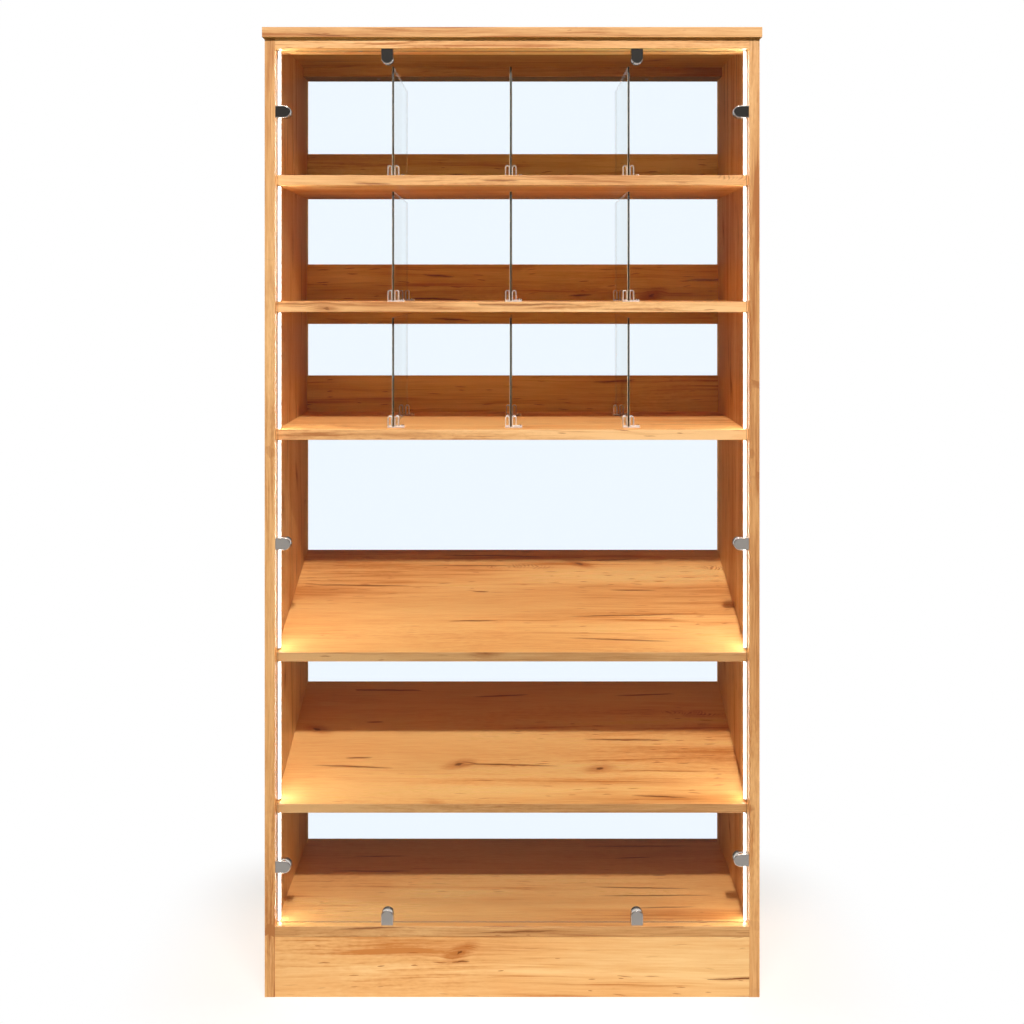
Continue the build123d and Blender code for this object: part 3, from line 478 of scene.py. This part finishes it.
def makeClear(name, glass, edgesOf):
    material, tree, shader, where = startMaterial(name)
    drift = noiseOf(tree, where, (9, 9, 9), 2.0)
    dimmer = tuple(c * 0.995 for c in glass["tint"][:3]) + (1.0,)
    feed(tree, shader.inputs["Base Color"], mixOf(tree, drift, dimmer, glass["tint"]))
    shader.inputs["Roughness"].default_value = glass["rough"]
    shader.inputs["IOR"].default_value = glass["ior"]
    shader.inputs["Transmission Weight"].default_value = 1.0
    facing = {axis: mathOf(tree, "ABSOLUTE", socket) for axis, socket in facingOf(tree).items()}
    surface = edgesOf(tree, shader.outputs[0], where, drift, facing)
    lightPath = addNode(tree, "ShaderNodeLightPath")
    for ray in ("Is Shadow Ray", "Is Diffuse Ray"):  # lamps and bounced light pass straight through
        surface = layOver(tree, lightPath.outputs[ray], surface,
                          "ShaderNodeBsdfTransparent", grey(glass["shade"]))
    show(tree, surface)
    return material


def paneEdges(tree, surface, where, drift, facing):  # dark cut edges
    rim = mixOf(tree, drift, colour(*paneSet["rim"]), colour(*(c * 0.9 for c in paneSet["rim"])))
    share = rangeOf(tree, facing["Y"], 0.8, 0.9, paneSet["rimShare"], 0.0)
    return layOver(tree, share, surface, "ShaderNodeBsdfDiffuse", rim)


def clipEdges(tree, surface, where, drift, facing):  # mostly clear from the front, milky white with painted highlight on the sides and the top
    share = rangeOf(tree, facing["Y"], 0.3, 0.8, clipSet["milkAndHighlightSides"], clipSet["milkAndHighlightFront"])
    milkAndHighlight = mixOf(tree, drift, grey(clipSet["darkMilkAndHighlight"]), grey(clipSet["brightMilkAndHighlight"]))
    return layOver(tree, share, surface, "ShaderNodeBsdfDiffuse", milkAndHighlight)


def dividerEdges(tree, surface, where, drift, facing):
    # faces that hardly mirror, polished edges at the rear and on top
    spot = axesOf(tree, where)
    polished = mathOf(tree, "MAXIMUM", mathOf(tree, "GREATER_THAN", spot["Y"], 0.0),
                      mathOf(tree, "GREATER_THAN", facing["Z"], 0.5))
    share = mathOf(tree, "MAXIMUM", facing["X"], polished)
    share = rangeOf(tree, share, 0.85, 0.95, 0.0, dividerSet["through"])
    surface = layOver(tree, share, surface, "ShaderNodeBsdfTransparent", grey(1.0))
    # ground edges: a pale arris that is painted highlight, a dark middle and a tan arris that is painted
    # reflection, the same at every divider
    start, end = dividerSet["arrisStart"], dividerSet["arrisEnd"]
    pitch = centres[1] - centres[0]
    sideways = mathOf(tree, "SUBTRACT", spot["X"], centres[1])
    sideways = mathOf(tree, "WRAP", sideways, pitch / 2, -pitch / 2)
    striped = mixOf(tree, rangeOf(tree, sideways, -end, -start), colour(*dividerSet["arrisHighlight"]),
                    colour(*dividerSet["edge"]))
    striped = mixOf(tree, rangeOf(tree, sideways, start, end), striped, colour(*dividerSet["farArrisReflection"]))
    ground = mixOf(tree, polished, striped, colour(*dividerSet["polished"]))
    share = rangeOf(tree, polished, 0.0, 1.0, dividerSet["groundShare"], dividerSet["polishedShare"])
    share = mathOf(tree, "MULTIPLY", mathOf(tree, "LESS_THAN", facing["X"], 0.85), share)
    depth = addNode(tree, "ShaderNodeVolumeAbsorption")
    depth.inputs["Color"].default_value = dividerSet["body"]
    depth.inputs["Density"].default_value = dividerSet["density"]
    show(tree, depth.outputs[0], "Volume")
    return layOver(tree, share, surface, "ShaderNodeBsdfDiffuse", ground)


dividers = [name for name in nodes if name.startswith("divider_") and "clip" not in name]
clips = [name for name in nodes if name.startswith("divider_clips_")]
centres = sorted(sum(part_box("divider_upper_" + side)[end][0] for end in (0, 1)) / 2
                 for side in ("left", "middle", "right"))
dress(makeClear("paneGlass", paneSet, paneEdges), "front_glass")
dress(makeClear("dividerGlass", dividerSet, dividerEdges), *dividers)
dress(makeClear("clipAcrylic", clipSet, clipEdges), *clips)
print("glass and clear clips dressed")


# metals and mouldings
finishSet = {"faintShade": 0.7, "roughSpread": 0.15, "relief": 0.0002}


def makeFinish(name, tint, rough, metallic, mottle, scale, bump, faint=False):
    material, tree, shader, where = startMaterial(name)
    grain = noiseOf(tree, where, scale, 3.0, 0.6)
    darker = tuple(c * (1 - 2 * mottle) for c in tint[:3]) + (1.0,)
    feed(tree, shader.inputs["Base Color"], mixOf(tree, grain, darker, tint))
    spread = rough * finishSet["roughSpread"]
    feed(tree, shader.inputs["Roughness"], rangeOf(tree, grain, 0.3, 0.7, rough - spread, rough + spread))
    shader.inputs["Metallic"].default_value = metallic
    if faint:  # a light shadow only, as under several lamps
        lightPath = addNode(tree, "ShaderNodeLightPath")
        show(tree, layOver(tree, lightPath.outputs["Is Shadow Ray"], shader.outputs[0],
                           "ShaderNodeBsdfTransparent", grey(finishSet["faintShade"])))
    if bump:
        feed(tree, shader.inputs["Normal"], bumpOf(tree, grain, bump, finishSet["relief"]))
    return material


finishes = {  # tint, roughness, metallic, mottle, scale of the grain, bump, nodes
    "glassClampChrome": ((0.70, 0.64, 0.58, 1), 0.12, 1.0, 0.03, (900, 900, 900), 0.0,
                         [n for n in nodes if n.startswith("glass_clamps_")]),
    "padRubber": (colour(196, 196, 194), 0.6, 0.0, 0.08, (700, 700, 700), 0.2, ["clamp_pads"]),
    "brightSteel": ((0.72, 0.71, 0.69, 1), 0.22, 1.0, 0.05, (1200, 1200, 300), 0.05,
                    ["clamp_screws", "clamp_set_screws", "divider_clip_screws"]),
    "zincSteel": ((0.62, 0.62, 0.60, 1), 0.38, 1.0, 0.15, (300, 300, 300), 0.08,
                  ["confirmat_screws", "wood_screws", "power_screws"]),
    "coverCap": (colour(206, 150, 98), 0.5, 0.0, 0.1, (150, 900, 900), 0.1, ["screw_covers"]),
    "channelAluminium": ((0.80, 0.80, 0.80, 1), 0.34, 1.0, 0.04, (900, 900, 12), 0.05,
                         ["light_channels_left", "light_channels_right"]),
    "lampTape": (colour(244, 244, 238), 0.5, 0.0, 0.04, (500, 500, 500), 0.1, ["light_tapes"]),
    "endCap": (colour(232, 232, 230), 0.45, 0.0, 0.04, (600, 600, 600), 0.1, ["light_end_caps"]),
    "leadSheath": (colour(226, 226, 222), 0.5, 0.0, 0.06, (500, 500, 500), 0.1,
                   ["light_jumper_leads", "light_feed_leads", "mains_lead"]),
    "clipWhite": (colour(232, 232, 228), 0.42, 0.0, 0.04, (600, 600, 600), 0.1, ["lead_clips"]),
    "supplyCase": (colour(220, 220, 217), 0.55, 0.0, 0.06, (900, 900, 900), 0.3, ["power_supply"]),
    "inletBlack": (colour(38, 38, 39), 0.5, 0.0, 0.15, (900, 900, 900), 0.3, ["power_inlet"]),
    "pinBrass": ((0.80, 0.62, 0.30, 1), 0.3, 1.0, 0.08, (600, 600, 600), 0.05, ["power_inlet_pins"]),
    "dowelBeech": (colour(214, 178, 132), 0.6, 0.0, 0.15, (60, 900, 900), 0.3, ["dowels"]),
}
faintShadows = ("glassClampChrome", "padRubber", "brightSteel")
for name, (tint, rough, metallic, mottle, scale, bump, users) in finishes.items():
    dress(makeFinish(name, tint, rough, metallic, mottle, scale, bump, faint=name in faintShadows), *users)


# the lit opal covers of the strips
opalSet = {"glow": 25.0, "flankGlow": 1.3, "tint": (1.0, 0.95, 0.89, 1.0), "rough": 0.3,
           "dark": (240, 240, 238), "pale": (250, 250, 248)}


def makeOpal():
    material, tree, shader, where = startMaterial("opalCover")
    cloud = noiseOf(tree, where, (60, 60, 9), 1.0)
    feed(tree, shader.inputs["Base Color"],
         mixOf(tree, cloud, colour(*opalSet["dark"]), colour(*opalSet["pale"])))
    shader.inputs["Roughness"].default_value = opalSet["rough"]
    shader.inputs["Emission Color"].default_value = opalSet["tint"]
    flank = mathOf(tree, "ABSOLUTE", facingOf(tree)["Y"])  # the flanks of the dome stay dimmer
    feed(tree, shader.inputs["Emission Strength"],
         rangeOf(tree, flank, 0.55, 0.9, opalSet["glow"], opalSet["flankGlow"]))
    return material


dress(makeOpal(), "light_covers_left", "light_covers_right")
print("metals, mouldings and strips dressed")


# world: white where it is seen, a low even level where it lights
worldSet = {"seen": 1.0, "throughGlass": (0.950, 1.025, 1.10, 1.0), "ambient": (0.032, 0.029, 0.011, 1.0),
            "frontGloss": 0.07, "satinGloss": 0.05, "rearGloss": 0.1, "overheadGloss": 1.2,
            "floorGloss": 0.45}
world = bpy.data.worlds.new("studio")
world.use_nodes = True
bpy.context.scene.world = world
tree = world.node_tree
tree.nodes.clear()
lightPath = addNode(tree, "ShaderNodeLightPath")
direct = mathOf(tree, "LESS_THAN", lightPath.outputs["Diffuse Depth"], 0.5)
direction = axesOf(tree, addNode(tree, "ShaderNodeTexCoord").outputs["Generated"])
behind = rangeOf(tree, direction["Y"], -0.25, 0.35)
# a mirrored ray stays one when it has run through a pane and back
mirrored = mathOf(tree, "GREATER_THAN", lightPath.outputs["Glossy Depth"], 0.5)
sharp = mixOf(tree, behind, grey(worldSet["frontGloss"]), worldSet["throughGlass"])
satin = rangeOf(tree, direction["Z"], 0.35, 0.85, worldSet["satinGloss"], worldSet["overheadGloss"])
satin = mixOf(tree, rangeOf(tree, direction["Y"], 0.2, 0.45), satin, grey(worldSet["rearGloss"]))
gloss = mixOf(tree, lightPath.outputs["Is Singular Ray"], satin, sharp)
sky = worldSet["ambient"]
for ray, value in ((lightPath.outputs["Is Transmission Ray"], worldSet["throughGlass"]),
                   (mirrored, gloss), (lightPath.outputs["Is Camera Ray"], grey(worldSet["seen"]))):
    sky = mixOf(tree, mathOf(tree, "MULTIPLY", ray, direct), sky, value)
background = addNode(tree, "ShaderNodeBackground")
feed(tree, background.inputs["Color"], sky)
addNode(tree, "ShaderNodeOutputWorld")
show(tree, background.outputs[0])


# floor: pale, with the object's soft contact shadow near it, pure white further away
floorSet = {"size": 40.0, "albedo": 0.80, "lift": 0.30, "fadeStart": 0.05, "fadeEnd": 0.30,
            "nearBounce": (0.84, 0.80, 0.54, 1.0), "farBounce": (0.20, 0.19, 0.10, 1.0),
            "bounceStart": 0.8, "bounceEnd": 2.2, "drop": 0.0002}
half = floorSet["size"] / 2
mesh = bpy.data.meshes.new("floor")
corners = [(-half, -half, 0), (half, -half, 0), (half, half, 0), (-half, half, 0)]
mesh.from_pydata(corners, [], [(0, 1, 2, 3)])
floor = bpy.data.objects.new("floor", mesh)
bpy.context.collection.objects.link(floor)
floor.location.z = -floorSet["drop"]
material = bpy.data.materials.new("paleFloor")
material.use_nodes = True
mesh.materials.append(material)
tree = material.node_tree
tree.nodes.clear()
addNode(tree, "ShaderNodeOutputMaterial")
where = addNode(tree, "ShaderNodeTexCoord").outputs["Object"]
axes = axesOf(tree, where)
beyond = []
for axis, low, high in (("X", cadBox[0][0], cadBox[1][0]), ("Y", cadBox[0][1], cadBox[1][1])):
    middle = mathOf(tree, "SUBTRACT", axes[axis], (low + high) / 2)
    past = mathOf(tree, "SUBTRACT", mathOf(tree, "ABSOLUTE", middle), (high - low) / 2)
    beyond.append(mathOf(tree, "MAXIMUM", past, 0.0))
far = mathOf(tree, "SQRT", squaresOf(tree, *beyond))
fade = rangeOf(tree, far, floorSet["fadeStart"], floorSet["fadeEnd"])
lightPath = addNode(tree, "ShaderNodeLightPath")
seen = lightPath.outputs["Is Camera Ray"]
for ray in ("Is Glossy Ray", "Is Transmission Ray"):
    seen = mathOf(tree, "MAXIMUM", seen, lightPath.outputs[ray])
seen = mathOf(tree, "MULTIPLY", seen, mathOf(tree, "LESS_THAN", lightPath.outputs["Diffuse Depth"], 0.5))


def floorDiffuse(tint):
    node = addNode(tree, "ShaderNodeBsdfDiffuse")
    speck = rangeOf(tree, noiseOf(tree, where, (90, 90, 90), 2.0), 0.0, 1.0, 0.98, 1.0, smooth=False)
    feed(tree, node.inputs[0], mixOf(tree, 1.0, tint, speck, "MULTIPLY"))
    return node.outputs[0]


def glowOf(tint):
    node = addNode(tree, "ShaderNodeEmission")
    feed(tree, node.inputs["Color"], tint)
    return node.outputs[0]


behind = rangeOf(tree, axes["Y"], 0.0, 0.6)
sharp = mixOf(tree, behind, grey(worldSet["frontGloss"]), worldSet["throughGlass"])
satin = rangeOf(tree, axes["Y"], -0.4, 0.6, worldSet["floorGloss"], worldSet["satinGloss"])
gloss = mixOf(tree, lightPath.outputs["Is Singular Ray"], satin, sharp)
white = mixOf(tree, lightPath.outputs["Is Transmission Ray"], grey(worldSet["seen"]),
              worldSet["throughGlass"])
white = mixOf(tree, mathOf(tree, "GREATER_THAN", lightPath.outputs["Glossy Depth"], 0.5), white, gloss)
away = rangeOf(tree, far, floorSet["bounceStart"], floorSet["bounceEnd"])
bounce = mixOf(tree, away, floorSet["nearBounce"], floorSet["farBounce"])
near = shaderMix(tree, "ShaderNodeAddShader", floorDiffuse(grey(floorSet["albedo"])),
                 glowOf(grey(floorSet["lift"])))
shown = shaderMix(tree, "ShaderNodeMixShader", fade, near, glowOf(white))
whole = shaderMix(tree, "ShaderNodeMixShader", seen, floorDiffuse(bounce), shown)
show(tree, whole)


# lamps: one small high key in front, one weak soft lamp steeper above it
lamps = {
    "keyLamp": {"power": 530.0, "size": 0.28,
                "place": (0.25, carcassFront - 5.4, 5.55), "aim": (0, 0, 0.85)},
    "steepLamp": {"power": 30.0, "size": 0.7,
                  "place": (0.1, carcassFront - 1.35, 4.6), "aim": (0, 0, 0.9)},
}
# and level light on the outer sides and the rear, which runs past the shelves
levelAngle = 5  # degrees, how wide each one looks
levelLights = {
    "fromLeft": {"strength": 2.3, "place": (-3, 0, 2.5), "aim": (3, 0, 2.5)},
    "fromRight": {"strength": 2.3, "place": (3, 0, 2.5), "aim": (-3, 0, 2.5)},
    "fromRear": {"strength": 1.5, "place": (0, 3, 2.5), "aim": (0, -3, 2.5)},
}


def hang(name, kind, strength, place, aim):
    body = bpy.data.objects.new(name, bpy.data.lights.new(name, kind))
    body.data.energy = strength
    body.location = place
    body.rotation_euler = (Vector(aim) - Vector(place)).to_track_quat("-Z", "Y").to_euler()
    bpy.context.collection.objects.link(body)
    return body


for name, lamp in lamps.items():
    body = hang(name, "AREA", lamp["power"], lamp["place"], lamp["aim"])
    body.data.shape = "DISK"
    body.data.size = lamp["size"]
for name, lamp in levelLights.items():
    body = hang(name, "SUN", lamp["strength"], lamp["place"], lamp["aim"])
    body.data.angle = math.radians(levelAngle)
    body.visible_glossy = body.visible_transmission = False
print("world, floor and lamps set")
